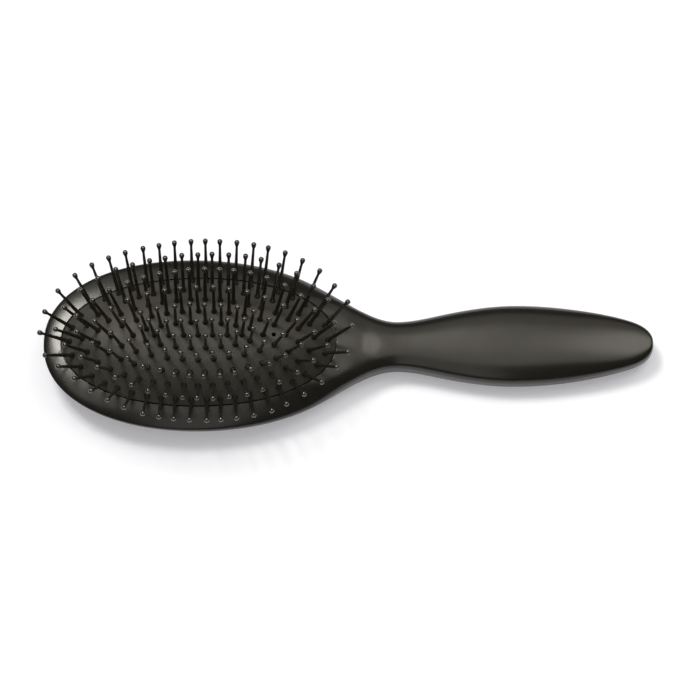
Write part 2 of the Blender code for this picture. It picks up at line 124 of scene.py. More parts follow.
CHAMBER_DEPTH = 6.0 * MM

# Places along X and half sizes that follow
TIP_X = -(CUSHION_HALF_LENGTH + RIM_WIDTH_AT_TIP)
WIDEST_X = -WIDEST_SETBACK
FRONT_X = CUSHION_HALF_LENGTH + RIM_WIDTH_AT_NECK
BACK_LENGTH = WIDEST_X - TIP_X
FRONT_LENGTH = FRONT_X - WIDEST_X
JOIN_X = WIDEST_X + NECK_JOIN_SHARE * FRONT_LENGTH
NECK_X = FRONT_X + NECK_BEYOND_RIM
SHOULDER_X = NECK_X + NECK_TO_SHOULDER
GRIP_X = SHOULDER_X + SHOULDER_TO_GRIP
END_X = GRIP_X + GRIP_TO_END
HEAD_HALF_WIDTH = CUSHION_HALF_WIDTH + RIM_WIDTH_AT_SIDES
GRIP_HALF_THICKNESS = HEAD_THICKNESS - DROP_AT_GRIP
REST_Z = FLAT_DEPTH - HEAD_THICKNESS

# Groove round the cushion, closer than in the CAD model, and the rubber's lip and skin
FIT_GAP = 0.12 * MM
EDGE_RADIUS = 0.1 * MM
EDGE_SUPPORT_SHARE = 0.985
OPENING_END_X = CUSHION_HALF_LENGTH + FIT_GAP + EDGE_RADIUS
CUSHION_REACH = -0.3 * MM
REACH_POWER = 8
CUSHION_LIP_DEPTH = 2.2 * MM
LIP_ROLL_DEPTH = 0.45 * MM
LIP_INNER_SHARE = 0.9
SKIN_THICKNESS = 2.6 * MM

# Front of the land, the neck and the grip, flatter than in the CAD model, and the grip's blunt end
LAND_RISE_POWER = 4.4
NECK_RISE_POWER = 3.5
GRIP_RISE_POWER = 3.0
END_RISE_POWER = 5.5
BLUNT_SHARE = 0.45
BLUNT_X = GRIP_X + BLUNT_SHARE * GRIP_TO_END
FRONT_LOST_SHARE = 0.46
FRONT_CAP_POWER = 200.0
LAND_BLEND = 6.0 * MM

# Shallow scoop where the rim's land meets the neck, which the CAD model doesn't have
SCOOP_FALL = 0.8 * MM
SCOOP_FALL_X = 68.0 * MM
SCOOP_DEPTH = 0.5 * MM
SCOOP_START = 62.5 * MM
SCOOP_RADIUS = 7.1 * MM
SCOOP_CENTRE_X = SCOOP_START - SCOOP_RADIUS
SCOOP_LENGTH = 60.0 * MM
SCOOP_HALF_WIDTH = 19.0 * MM
SCOOP_FADE = 4.5 * MM
SCOOP_STEP_SHARE = 0.105

# Scatter of the pins: slope of the lean, and turn round the ring in radians
SEED = 7
LEAN_JITTER = 0.012
TURN_JITTER = 0.004
# Places where use has bent the pins, as shares of the outer ring's half sizes, how far each
# reaches, and the slope that it adds along and across the brush
BENT_PLACES = (
    (-1.0, 0.05, 0.28, -0.16, -0.1),
    (-0.98, -0.3, 0.12, -0.08, -0.16),
    (-0.7, -0.5, 0.4, 0.04, 0.14),
    (-0.35, 0.95, 0.3, 0.0, -0.1),
    (0.6, 0.75, 0.4, 0.0, 0.2),
    (0.45, -0.9, 0.35, 0.03, -0.1),
    (0.97, 0.2, 0.2, 0.04, 0.12),
    (0.98, -0.25, 0.12, 0.0, -0.12),
)
# Height along a pin's axis from the cushion's face, and radius
PIN_PROFILE = tuple((height * MM, radius * MM) for height, radius in (
    (-0.7, 1.0), (-0.25, 1.14), (0.15, 1.18), (0.5, 1.12), (0.85, 0.96), (1.2, 0.85), (1.7, 0.8),
    (3.0, 0.74), (8.0, 0.65), (13.0, 0.55), (15.3, 0.5), (15.8, 0.54), (16.3, 0.69), (16.75, 0.87),
    (17.15, 0.98), (17.45, 1.02), (17.8, 0.96), (18.1, 0.78), (18.3, 0.5), (18.38, 0.2),
))
PIN_TOP = 18.4 * MM

# Fineness
HEAD_STEPS = 120
TAIL_STEPS = 96
TAIL_CROWDING = 1.3
TOP_ROWS = 18
BACK_ROWS = 14
EDGE_ROWS = 4
AROUND_STEPS = 192
DOME_ROWS = 48
UNDERSIDE_ROWS = 12
FINE_STEPS = 1440
VENT_SIDES = 24
PIN_SIDES = 20
SHARP_DEGREES = 50.0

handle_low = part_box("handle")[0]
cushion_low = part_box("cushion")[0]
OFFSET = Vector((handle_low.x - TIP_X, 0.0, cushion_low.z + CUSHION_LIP_DEPTH))


# Curves


def hermite(x, x0, x1, y0, y1, slope0, slope1):
    """Cubic from (x0, y0) to (x1, y1) with the given end slopes."""
    span = x1 - x0
    t = (x - x0) / span
    rise = t * t * (3 - 2 * t)
    return (
        y0
        + (y1 - y0) * rise
        + span * slope0 * t * (1 - t) ** 2
        - span * slope1 * (1 - t) * t * t
    )


def smooth_curve(knots, x):
    """Smooth curve through the knots, level at both ends and beyond them."""
    if x <= knots[0][0]:
        return knots[0][1]
    if x >= knots[-1][0]:
        return knots[-1][1]
    slopes = [0.0]
    for before, after in zip(knots, knots[2:]):
        slopes.append((after[1] - before[1]) / (after[0] - before[0]))
    slopes.append(0.0)
    i = next(i for i in range(len(knots) - 1) if x <= knots[i + 1][0])
    (x0, y0), (x1, y1) = knots[i:i + 2]
    return hermite(x, x0, x1, y0, y1, slopes[i], slopes[i + 1])


def rounding(share, power):
    """Height of a superellipse of unit axes at the given share of its length."""
    inside = 1.0 - min(1.0, abs(share)) ** power
    return max(0.0, inside) ** (1.0 / power)


def eased(x, start, end):
    """Share from 0 at the start to 1 at the end, level at both."""
    t = min(1.0, max(0.0, (x - start) / (end - start)))
    return t * t * (3 - 2 * t)


# Handle


def grip_taper(x, lost, cap_power=GRIP_CAP_POWER):
    """Share of the grip's width or thickness left towards its end, which is a round cap."""
    share = min(1.0, (x - GRIP_X) / GRIP_TO_END)
    return (1.0 - lost * share * share) * math.sqrt(1.0 - share ** cap_power)


def half_width(x):
    """Half the handle's width, seen from above."""
    if x <= WIDEST_X:
        return HEAD_HALF_WIDTH * rounding((WIDEST_X - x) / BACK_LENGTH, TIP_POWER)
    if x <= JOIN_X:
        return HEAD_HALF_WIDTH * rounding((x - WIDEST_X) / FRONT_LENGTH, FRONT_POWER)
    if x <= NECK_X:
        join = rounding(NECK_JOIN_SHARE, FRONT_POWER)
        steepness = (NECK_JOIN_SHARE / join) ** (FRONT_POWER - 1)
        slope = -HEAD_HALF_WIDTH / FRONT_LENGTH * steepness
        return hermite(x, JOIN_X, NECK_X, HEAD_HALF_WIDTH * join, NECK_WIDTH / 2, slope, 0.0)
    if x <= SHOULDER_X:
        widths = NECK_WIDTH / 2, SHOULDER_WIDTH / 2
        return hermite(x, NECK_X, SHOULDER_X, *widths, 0.0, SHOULDER_SLOPE)
    if x <= GRIP_X:
        widths = SHOULDER_WIDTH / 2, GRIP_WIDTH / 2
        return hermite(x, SHOULDER_X, GRIP_X, *widths, SHOULDER_SLOPE, 0.0)
    return GRIP_WIDTH / 2 * grip_taper(x, GRIP_WIDTH_LOST_SHARE)


def widest_z(x):
    """Height of the handle's widest line."""
    knots = (
        (TIP_X, -DROP_AT_TIP),
        (WIDEST_X, -DROP_AT_HEAD),
        (JOIN_X, -DROP_AT_JOIN),
        (NECK_X, -DROP_AT_NECK),
        (GRIP_X, -DROP_AT_GRIP),
        (END_X, -DROP_AT_END),
    )
    return smooth_curve(knots, x)


def back_depth(x):
    """Depth of the back's middle line below the widest line."""
    knots = (
        (WIDEST_X, HEAD_THICKNESS - DROP_AT_HEAD),
        (JOIN_X, HEAD_THICKNESS - BACK_RISE_AT_JOIN - DROP_AT_JOIN),
        (NECK_X, NECK_THICKNESS + FALL_AT_NECK - DROP_AT_NECK),
        (GRIP_X, GRIP_HALF_THICKNESS),
    )
    depth = smooth_curve(knots, x)
    if x < WIDEST_X:
        depth *= rounding((WIDEST_X - x) / BACK_LENGTH, TIP_POWER)
    if x > GRIP_X:
        depth *= grip_taper(x, GRIP_THICKNESS_LOST_SHARE)
    return depth


def front_z(x):
    """Height of the front's middle line, from the rim's edge along the neck and the grip."""
    if x > GRIP_X:
        taper = grip_taper(x, FRONT_LOST_SHARE, FRONT_CAP_POWER)
        return widest_z(x) + GRIP_HALF_THICKNESS * taper
    knots = (
        (OPENING_END_X, 0.0),
        (FRONT_X, -FALL_AT_FRONT),
        (SCOOP_FALL_X, -SCOOP_FALL),
        (NECK_X, -FALL_AT_NECK),
        (GRIP_X, GRIP_HALF_THICKNESS - DROP_AT_GRIP),
    )
    return smooth_curve(knots, x)


def tail_stations():
    """Places along X behind the head, closer together along the outline towards the end."""
    length = END_X - FRONT_X
    fine = [END_X - length * (1 - i / FINE_STEPS) ** 2 for i in range(FINE_STEPS + 1)]
    widths = [half_width(x) for x in fine]
    lengths = np.concatenate([[0.0], np.cumsum(np.hypot(np.diff(fine), np.diff(widths)))])
    left = lengths[-1] * (1 - np.linspace(0.0, 1.0, TAIL_STEPS + 1)) ** TAIL_CROWDING
    return [float(x) for x in np.interp(lengths[-1] - left, lengths, fine)][1:-1] + [END_X]


def head_stations():
    """Places along X at even turns round the head's oval."""
    places = []
    for i in range(HEAD_STEPS + 1):
        cosine = -math.cos(math.pi * i / HEAD_STEPS)
        length = BACK_LENGTH if cosine < 0 else FRONT_LENGTH
        places.append(WIDEST_X + length * cosine)
    return places


def head_direction(x):
    """Cosine that places a point of the head's outline against the oval opening."""
    if x <= WIDEST_X:
        return (x - WIDEST_X) / BACK_LENGTH
    return min(1.0, (x - WIDEST_X) / FRONT_LENGTH)


def opening_point(cosine, offset, z):
    """Point of the oval opening, at an offset outward from the cushion's edge."""
    x = (CUSHION_HALF_LENGTH + offset) * cosine
    y = (CUSHION_HALF_WIDTH + offset) * rounding(cosine, LEVEL_POWER_OUTER)
    return x, y, z


def section_power(x):
    """Power of the superellipse that the handle's section follows."""
    blend = min(1.0, max(0.0, (x - JOIN_X) / (SHOULDER_X - JOIN_X)))
    return HEAD_SECTION_POWER + (GRIP_SECTION_POWER - HEAD_SECTION_POWER) * blend


def rise_power(x):
    """Power by which the front rises from the side, which makes the neck and the grip flatter."""
    knots = (
        (JOIN_X, HEAD_SECTION_POWER),
        (FRONT_X, LAND_RISE_POWER),
        (NECK_X, NECK_RISE_POWER),
        (GRIP_X, GRIP_RISE_POWER),
        (BLUNT_X, GRIP_RISE_POWER),
        (END_X, END_RISE_POWER),
    )
    return smooth_curve(knots, x)


def on_neck(point):
    """Moves a point of the front from the rim's fan of sections onto the neck's own section."""
    x, y, z = point
    if not OPENING_END_X < x < SHOULDER_X:
        return point
    middle = widest_z(x)
    inside = max(0.0, 1.0 - (y / half_width(x)) ** section_power(x))
    rise = inside ** (1.0 / rise_power(x))
    neck_z = middle + (front_z(x) - middle) * rise
    return x, y, z + (neck_z - z) * eased(x, OPENING_END_X, OPENING_END_X + LAND_BLEND)


def scooped(point):
    """Lowers a point of the front in the shallow scoop where the rim's land meets the neck."""
    x, y, z = point
    share = (math.hypot(x - SCOOP_CENTRE_X, y) - SCOOP_RADIUS) / SCOOP_LENGTH
    if x < SCOOP_CENTRE_X or not 0 < share < 1:
        return point
    step = max(0.0, 1 - share / SCOOP_STEP_SHARE) ** 2
    depth = 1 - step - eased(share, SCOOP_STEP_SHARE, 1.0)
    sideways = max(0.0, 1 - (y / SCOOP_HALF_WIDTH) ** 2)
    sideways *= eased(x, SCOOP_CENTRE_X, SCOOP_CENTRE_X + SCOOP_FADE)
    return x, y, z - SCOOP_DEPTH * depth * sideways


def front_target(x):
    """Point that a section's front runs to: the opening's edge, or the neck's middle line."""
    if x <= FRONT_X:
        return opening_point(head_direction(x), FIT_GAP + EDGE_RADIUS, 0.0)
    lag = (FRONT_X - OPENING_END_X) * (1 - eased(x, FRONT_X, SHOULDER_X))
    return x - lag, 0.0, front_z(x - lag)


def section_rows(x):
    """Points from the back's middle line round the side to the front, for y >= 0."""
    width = half_width(x)
    middle = widest_z(x)
    depth = back_depth(x)
    power = section_power(x)
    rows = []
    for j in range(BACK_ROWS + 1):
        turn = math.pi / 2 * (1 - j / BACK_ROWS)
        y = width * max(0.0, math.cos(turn)) ** (2 / power) if j else 0.0
        z = middle - depth * math.sin(turn) ** (2 / power)
        rows.append((x, y, max(z, REST_Z)))
    target = front_target(x)
    slant = RIM_SLANT_SHARE * (1 - eased(x, JOIN_X, FRONT_X))
    turns = [math.pi / 2 * j / TOP_ROWS for j in range(1, TOP_ROWS + 1)]
    # One more row close to the opening's edge keeps the shading of that edge tight
    turns.insert(-1, math.acos((1 - EDGE_SUPPORT_SHARE) ** (power / 2)))
    for turn in turns:
        inward = 1 - max(0.0, math.cos(turn)) ** (2 / power) if turn < turns[-1] else 1.0
        rise = (1 - slant) * math.sin(turn) ** (2 / rise_power(x)) + slant * inward
        rows.append(scooped(on_neck((
            x + (target[0] - x) * inward,
            width + (target[1] - width) * inward,
            middle + (target[2] - middle) * rise,
        ))))
    return rows


def recess_rows(x):
    """Points from the rim's rounded edge down the lip's seat and over the air chamber's floor."""
    cosine = head_direction(x)
    rows = []
    for j in range(1, EDGE_ROWS + 1):
        turn = math.pi / 2 * j / EDGE_ROWS
        offset = FIT_GAP + EDGE_RADIUS * (1 - math.sin(turn))
        rows.append(opening_point(cosine, offset, -EDGE_RADIUS * (1 - math.cos(turn))))
    inner = FIT_GAP - LEDGE_WIDTH
    floor = opening_point(cosine, inner, -CHAMBER_DEPTH)
    return rows + [
        opening_point(cosine, FIT_GAP, -LEDGE_DEPTH),
        opening_point(cosine, inner, -LEDGE_DEPTH),
        floor,
        (floor[0], 0.0, -CHAMBER_DEPTH),
    ]


class MeshBuilder:
    """Collects faces by their corner points and shares corners that coincide."""

    def __init__(self):
        self.points = []
        self.faces = []
        self.index = {}

    def corner(self, point):
        """Number of the corner at a point, to a tenth of a micrometre; -0.0 counts as 0.0."""
        key = tuple(round(value / MM, 4) + 0.0 for value in point)
        if key not in self.index:
            self.index[key] = len(self.points)
            self.points.append(tuple(point))
        return self.index[key]

    def face(self, *corners):
        """Face through the points, unless so many coincide that nothing is left of it."""
        ring = []
        for point in corners:
            number = self.corner(point)
            if number not in ring:
                ring.append(number)
        if len(ring) > 2:
            self.faces.append(ring)

    def strips(self, columns, closed):
        """Quads between neighbouring columns of points."""
        pairs = list(zip(columns, columns[1:]))
        if closed:
            pairs.append((columns[-1], columns[0]))
        for left, right in pairs:
            for j in range(len(left) - 1):
                self.face(left[j], right[j], right[j + 1], left[j + 1])

    def mesh(self, name):
        """Mesh of the faces in the scene's frame, with its normals outward."""
        mesh = bpy.data.meshes.new(name)
        mesh.from_pydata([Vector(point) + OFFSET for point in self.points], [], self.faces)
        shape = bmesh.new()
        shape.from_mesh(mesh)
        bmesh.ops.recalc_face_normals(shape, faces=shape.faces)
        shape.to_mesh(mesh)
        shape.free()
        return mesh


def add_piece(name, mesh, look):
    """Named object, shaded smooth up to the sharp edges."""
    mesh.materials.append(look)
    mesh.shade_smooth()
    mesh.set_sharp_from_angle(angle=math.radians(SHARP_DEGREES))
    made = bpy.data.objects.new(name, mesh)
    bpy.context.scene.collection.objects.link(made)
    return made


def make_handle(look):
    """One-piece handle: head with the oval recess, neck and grip."""
    builder = MeshBuilder()
    head = head_stations()
    outer = [section_rows(x) for x in head + tail_stations()]
    inner = [section_rows(x)[-1:] + recess_rows(x) for x in head]
    for columns in (outer, inner):
        builder.strips(columns, closed=False)
        builder.strips([[(x, -y, z) for x, y, z in rows] for rows in columns], closed=False)
    return add_piece("lacquered_handle", builder.mesh("lacquered_handle"), look)


# Cushion


def level_half_length(t):
    """Half length of the dome's level curve; t is 0 on the centre row and 1 at the lip."""
    stops = (0.0,) + RING_WIDTH_SHARES[::-1] + (1.0,)
    shares = (CENTRE_ROW_LENGTH_SHARE,) + RING_LENGTH_SHARES[::-1] + (1.0,)
    return CUSHION_HALF_LENGTH * float(np.interp(t, stops, shares))


def level_point(t, turn, reach=0.0):
    """Point of a level curve; the turn starts at the end away from the handle."""
    power = LEVEL_POWER_INNER + (LEVEL_POWER_OUTER - LEVEL_POWER_INNER) * t
    cosine = math.cos(turn)
    sine = math.sin(turn)
    x = -(level_half_length(t) + reach) * math.copysign(abs(cosine) ** (2 / power), cosine)
    y = (t * CUSHION_HALF_WIDTH + reach) * math.copysign(abs(sine) ** (2 / power), sine)
    return x, y


def dome_z(t):
    """Height of the dome over the rim's edge."""
    return CROWN_HEIGHT * (1 - t ** DOME_POWER)


def make_cushion(look):
    """Rubber cushion in one skin: a rolled edge, the dome and its underside."""
    builder = MeshBuilder()
    columns = []
    for i in range(AROUND_STEPS):
        turn = 2 * math.pi * i / AROUND_STEPS
        edge = level_point(1.0, turn, CUSHION_REACH)
        column = [
            (*level_point(LIP_INNER_SHARE, turn), -CUSHION_LIP_DEPTH),
            (*edge, -CUSHION_LIP_DEPTH),
            (*edge, -LIP_ROLL_DEPTH),
        ]
        for j in range(DOME_ROWS + 1):
            t = math.sin(math.pi / 2 * (1 - j / DOME_ROWS))
            column.append((*level_point(t, turn, CUSHION_REACH * t ** REACH_POWER), dome_z(t)))
        for j in range(1, UNDERSIDE_ROWS):
            t = LIP_INNER_SHARE * j / UNDERSIDE_ROWS
            column.append((*level_point(t, turn), dome_z(t) - SKIN_THICKNESS))
        column.append(column[0])
        columns.append(column)
    builder.strips(columns, closed=True)
    made = add_piece("air_cushion", builder.mesh("air_cushion"), look)
    cut_vent(made)
    return made


def cut_vent(cushion):
    """Air hole through the skin, on the centre line, towards the handle."""
    builder = MeshBuilder()
    centre_x = VENT_LENGTH_SHARE * CUSHION_HALF_LENGTH
    radius = VENT_DIAMETER / 2
    height = 2 * CROWN_HEIGHT
    columns = []
    for i in range(VENT_SIDES):
        turn = 2 * math.pi * i / VENT_SIDES
        x = centre_x + radius * math.cos(turn)
        y = radius * math.sin(turn)
        columns.append([(centre_x, 0.0, 0.0), (x, y, 0.0), (x, y, height), (centre_x, 0.0, height)])
    builder.strips(columns, closed=True)
    cutter = bpy.data.objects.new("vent_cutter", builder.mesh("vent_cutter"))
    bpy.context.scene.collection.objects.link(cutter)
    step = cushion.modifiers.new("vent", "BOOLEAN")
    step.operation = "DIFFERENCE"
    step.solver = "EXACT"
    step.object = cutter
    bpy.context.view_layer.update()
    evaluated = cushion.evaluated_get(bpy.context.evaluated_depsgraph_get())
    with_vent = bpy.data.meshes.new_from_object(evaluated)
    cushion.modifiers.remove(step)
    cushion.data = with_vent
    bpy.data.objects.remove(cutter, do_unlink=True)


# Pins


def arc_table(t):
    """Lengths along a level curve, and the turns at which they are reached."""
    turns = np.linspace(0.0, 2 * math.pi, FINE_STEPS + 1)
    points = np.array([level_point(t, turn) for turn in turns])
    steps = np.hypot(*np.diff(points, axis=0).T)
    return np.concatenate([[0.0], np.cumsum(steps)]), turns


def turn_at(table, length):
    """Turn at a length along the curve, also before its start."""
    lengths, turns = table
    whole = math.floor(length / lengths[-1])
    rest = length - whole * lengths[-1]
    return float(np.interp(rest, lengths, turns)) + 2 * math.pi * whole


def pin_direction(x, y, t, chance):
    """Unit vector along a pin at (x, y) on the level curve t, with the bends of a used brush."""
    share_x = x / (CUSHION_HALF_LENGTH * RING_LENGTH_SHARES[0])
    share_y = y / (CUSHION_HALF_WIDTH * RING_WIDTH_SHARES[0])
    growth = (t / RING_WIDTH_SHARES[0]) ** LEAN_GROWTH
    lean_x = math.tan(math.radians(LEAN_DEGREES_AT_ENDS)) * share_x * abs(share_x)
    lean_y = math.tan(math.radians(LEAN_DEGREES_AT_SIDES)) * share_y * growth
    for place_x, place_y, reach, bend_x, bend_y in BENT_PLACES:
        distance = math.hypot(share_x - place_x, share_y - place_y)
        weight = math.exp(-(distance / reach) ** 2)
        lean_x += weight * bend_x
        lean_y += weight * bend_y
    lean_x += chance.gauss(0.0, LEAN_JITTER)
    lean_y += chance.gauss(0.0, LEAN_JITTER)
    return Vector((lean_x, lean_y, 1.0)).normalized()


def add_pin(builder, x, y, z, t, chance):
    """One round pin: a flared foot, a tapered shaft and a teardrop ball."""
    axis = pin_direction(x, y, t, chance)
    base = Vector((x, y, z))
    side = axis.cross(Vector((0.0, 1.0, 0.0))).normalized()
    across = axis.cross(side)
    columns = []
    for i in range(PIN_SIDES):
        turn = 2 * math.pi * i / PIN_SIDES
        spoke = side * math.cos(turn) + across * math.sin(turn)
        column = [base + axis * PIN_PROFILE[0][0]]
        column += [base + axis * height + spoke * radius for height, radius in PIN_PROFILE]
        column.append(base + axis * PIN_TOP)
        columns.append(column)
    builder.strips(columns, closed=True)


def add_pin_piece(node, body, places, t, look, chance):
    """The pins at the places as one piece, in the stead of a CAD node and on its body."""
    builder = MeshBuilder()
    for x, y, z in places:
        add_pin(builder, x, y, z, t, chance)
    name = node.replace("pins_", "nylon_pins_")
    made = add_piece(name, builder.mesh(name), look)
    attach(made, body)
    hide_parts(node)


def make_pins(look):
    """A piece of pins for each CAD pin node: the arcs of the rings, and the centre row."""
    chance = random.Random(SEED)
    for number, (t, arcs) in enumerate(zip(RING_WIDTH_SHARES, RING_ARC_PINS), start=1):
        table = arc_table(t)
        pitch = table[0][-1] / sum(arcs)
        start = -arcs[0] * pitch / 2
        for arc_number, count in enumerate(arcs, start=1):
            places = []
            for i in range(count):
                turn = turn_at(table, start + (i + 0.5) * pitch)
                turn += chance.gauss(0.0, TURN_JITTER)
                places.append((*level_point(t, turn), dome_z(t)))
            node = f"pins_ring_{number}_arc_{arc_number}"
            add_pin_piece(node, f"ring_{number}", places, t, look, chance)
            start += count * pitch
    half = CENTRE_ROW_LENGTH_SHARE * CUSHION_HALF_LENGTH
    places = []
    for i in range(CENTRE_ROW_PINS):
        places.append((half * (2 * i / (CENTRE_ROW_PINS - 1) - 1), 0.0, CROWN_HEIGHT))
    add_pin_piece("pins_centre_row", "centre_row", places, 0.0, look, chance)


# Materials: pairs of linear colours that noise mixes, ranges of roughness, and bump heights

LACQUER_COLOURS = (0.0078, 0.0068, 0.0042, 1.0), (0.0098, 0.0086, 0.0054, 1.0)
LACQUER_ROUGHNESS = (0.21, 0.25)
LACQUER_IOR = 1.52
LACQUER_PEEL_HEIGHT = 0.01 * MM

RUBBER_PLAIN_COLOURS = (0.021, 0.0191, 0.0136, 1.0), (0.027, 0.0246, 0.0176, 1.0)
# Lighter rubber colours towards the head's tip: a painted highlight that stands in for the key
# light's sheen, not dust
RUBBER_PAINTED_SHEEN_COLOURS = (0.037, 0.0346, 0.0272, 1.0), (0.046, 0.043, 0.034, 1.0)
RUBBER_ROUGHNESS = (0.5, 0.56)
RUBBER_RIB_HEIGHT = 0.04 * MM
RUBBER_GRAIN_HEIGHT = 0.04 * MM
# Places along X, in the scene's frame, where the painted sheen highlight on the rubber begins and
# where it is full
PAINTED_SHEEN_START_X = -58.0 * MM
PAINTED_SHEEN_FULL_X = -95.0 * MM
RIB_PITCH = 0.8 * MM
# A wave texture repeats every pi / 10 over its scale
RIB_SCALE = math.pi / 10 / RIB_PITCH

NYLON_COLOURS = (0.013, 0.0112, 0.0074, 1.0), (0.017, 0.0147, 0.0098, 1.0)
NYLON_ROUGHNESS = (0.07, 0.11)
NYLON_IOR = 1.53
NYLON_SPECULAR_LEVEL = 1.0
NYLON_WAVE_HEIGHT = 0.008 * MM

FLOOR_COLOURS = (0.785, 0.81, 0.87, 1.0), (0.805, 0.83, 0.89, 1.0)
FLOOR_ROUGHNESS = 0.9
FLOOR_LIFT = 0.27
FLOOR_LIFT_COLOUR = (0.98, 0.96, 1.0, 1.0)

# Values of a noise texture between which its colours and ranges change
NOISE_LOW = 0.3
NOISE_HIGH = 0.7


class Nodes:
    """Small helper that adds nodes and links to a material."""

    def __init__(self, name):
        self.material = bpy.data.materials.new(name)
        self.material.use_nodes = True
        self.tree = self.material.node_tree
        self.shader = self.tree.nodes["Principled BSDF"]

    def feed(self, socket, value):
        """Links an output to an input, or sets the input to a value."""
        if isinstance(value, bpy.types.NodeSocket):
            self.tree.links.new(value, socket)
        else:
            socket.default_value = value

    def add(self, kind, settings=None, **inputs):
        """New node; an underscore in an input's name stands for a space."""
        node = self.tree.nodes.new(kind)
        for key, value in (settings or {}).items():
            setattr(node, key, value)
        for key, value in inputs.items():
            self.feed(node.inputs[key.replace("_", " ")], value)
        return node

    def shade(self, key, value):
        """Feeds an input of the shader."""
        self.feed(self.shader.inputs[key], value)

    def where(self):
        """Coordinates in the object's own frame, which is the scene's."""
        return self.add("ShaderNodeTexCoord").outputs["Object"]

    def noise(self, where, scale, detail=3.0):
        """Value of a noise texture."""
        made = self.add("ShaderNodeTexNoise", Vector=where, Scale=scale, Detail=detail)
        return made.outputs["Fac"]

    def ramp(self, value, colours, low=NOISE_LOW, high=NOISE_HIGH):
        """Colour between two, as the value goes from low to high."""
        made = self.add("ShaderNodeValToRGB", Fac=value)
        stops = made.color_ramp.elements
        for stop, position, colour in zip(stops, (low, high), colours):
            stop.position = position
            stop.color = colour
        return made.outputs["Color"]

    def spread(self, value, low, high):
        """Maps noise round its middle to a range of values."""
        made = self.add(
            "ShaderNodeMapRange",
            Value=value, From_Min=NOISE_LOW, From_Max=NOISE_HIGH, To_Min=low, To_Max=high,
        )
        return made.outputs["Result"]

    def calculated(self, operation, first, second):
        """Result of an operation on two outputs, or on an output and a number."""
        made = self.add("ShaderNodeMath", {"operation": operation})
        self.feed(made.inputs[0], first)
        self.feed(made.inputs[1], second)
        return made.outputs["Value"]

    def mix(self, share, first, second):
        """Mix of two colours."""
        made = self.add("ShaderNodeMix", {"data_type": "RGBA"}, Factor=share)
        for identifier, colour in (("A_Color", first), ("B_Color", second)):
            self.feed(by_identifier(made.inputs, identifier), colour)
        return by_identifier(made.outputs, "Result_Color")

    def bump(self, height, distance, under=None):
        """Bumped normal, on top of another if one is given."""
        made = self.add("ShaderNodeBump", Strength=1.0, Distance=distance, Height=height)
        if under is not None:
            self.feed(made.inputs["Normal"], under)
        return made.outputs["Normal"]


def by_identifier(sockets, identifier):
    """Socket of a node that gives several of its sockets the same name."""
    return next(socket for socket in sockets if socket.identifier == identifier)


def lacquer():
    """Satin black lacquer: even, with a faint orange peel and handling marks in its gloss."""
    nodes = Nodes("satin_lacquer")
    where = nodes.where()
    cloud = nodes.noise(where, scale=45.0)
    marks = nodes.noise(where, scale=120.0, detail=5.0)
    peel = nodes.noise(where, scale=2200.0, detail=2.0)
    nodes.shade("Base Color", nodes.ramp(cloud, LACQUER_COLOURS))
    nodes.shade("Roughness", nodes.spread(marks, *LACQUER_ROUGHNESS))
    nodes.shade("Normal", nodes.bump(peel, LACQUER_PEEL_HEIGHT))
    nodes.shade("IOR", LACQUER_IOR)
    return nodes.material


def rubber():
    """Matt black rubber with fine crossed ribs, and a painted sheen highlight: lighter colour
    towards the tip of the head.
    """
    nodes = Nodes("cushion_rubber_grain")
    where = nodes.where()
    along = nodes.add("ShaderNodeSeparateXYZ", Vector=where).outputs["X"]
    # Painted highlight: the rubber's colour grows lighter towards the head's tip, in place of the
    # key light's sheen
    painted_sheen_share = nodes.add(
        "ShaderNodeMapRange",
        {"interpolation_type": "SMOOTHSTEP"},
        Value=along, From_Min=PAINTED_SHEEN_START_X, From_Max=PAINTED_SHEEN_FULL_X,
    )
    cloud = nodes.noise(where, scale=70.0, detail=4.0)
    plain_rubber = nodes.ramp(cloud, RUBBER_PLAIN_COLOURS)
    sheened_rubber = nodes.ramp(cloud, RUBBER_PAINTED_SHEEN_COLOURS)
    nodes.shade("Base Color", nodes.mix(painted_sheen_share.outputs["Result"], plain_rubber, sheened_rubber))
    wear = nodes.noise(where, scale=300.0)
    nodes.shade("Roughness", nodes.spread(wear, *RUBBER_ROUGHNESS))
    ribs = []
    for direction in ("X", "Y"):
        settings = {"bands_direction": direction}
        wave = nodes.add("ShaderNodeTexWave", settings, Vector=where, Scale=RIB_SCALE)
        ribs.append(wave.outputs["Fac"])
    ribbed = nodes.bump(nodes.calculated("MAXIMUM", *ribs), RUBBER_RIB_HEIGHT)
    grain = nodes.noise(where, scale=3200.0, detail=2.0)
    nodes.shade("Normal", nodes.bump(grain, RUBBER_GRAIN_HEIGHT, under=ribbed))
    return nodes.material


def nylon():
    """Polished black nylon, a little uneven in its gloss."""
    nodes = Nodes("polished_nylon")
    where = nodes.where()
    cloud = nodes.noise(where, scale=400.0)
    gloss = nodes.noise(where, scale=900.0)
    waves = nodes.noise(where, scale=2500.0, detail=2.0)
    nodes.shade("Base Color", nodes.ramp(cloud, NYLON_COLOURS))
    nodes.shade("Roughness", nodes.spread(gloss, *NYLON_ROUGHNESS))
    nodes.shade("Normal", nodes.bump(waves, NYLON_WAVE_HEIGHT))
    nodes.shade("IOR", NYLON_IOR)
    nodes.shade("Specular IOR Level", NYLON_SPECULAR_LEVEL)
    return nodes.material


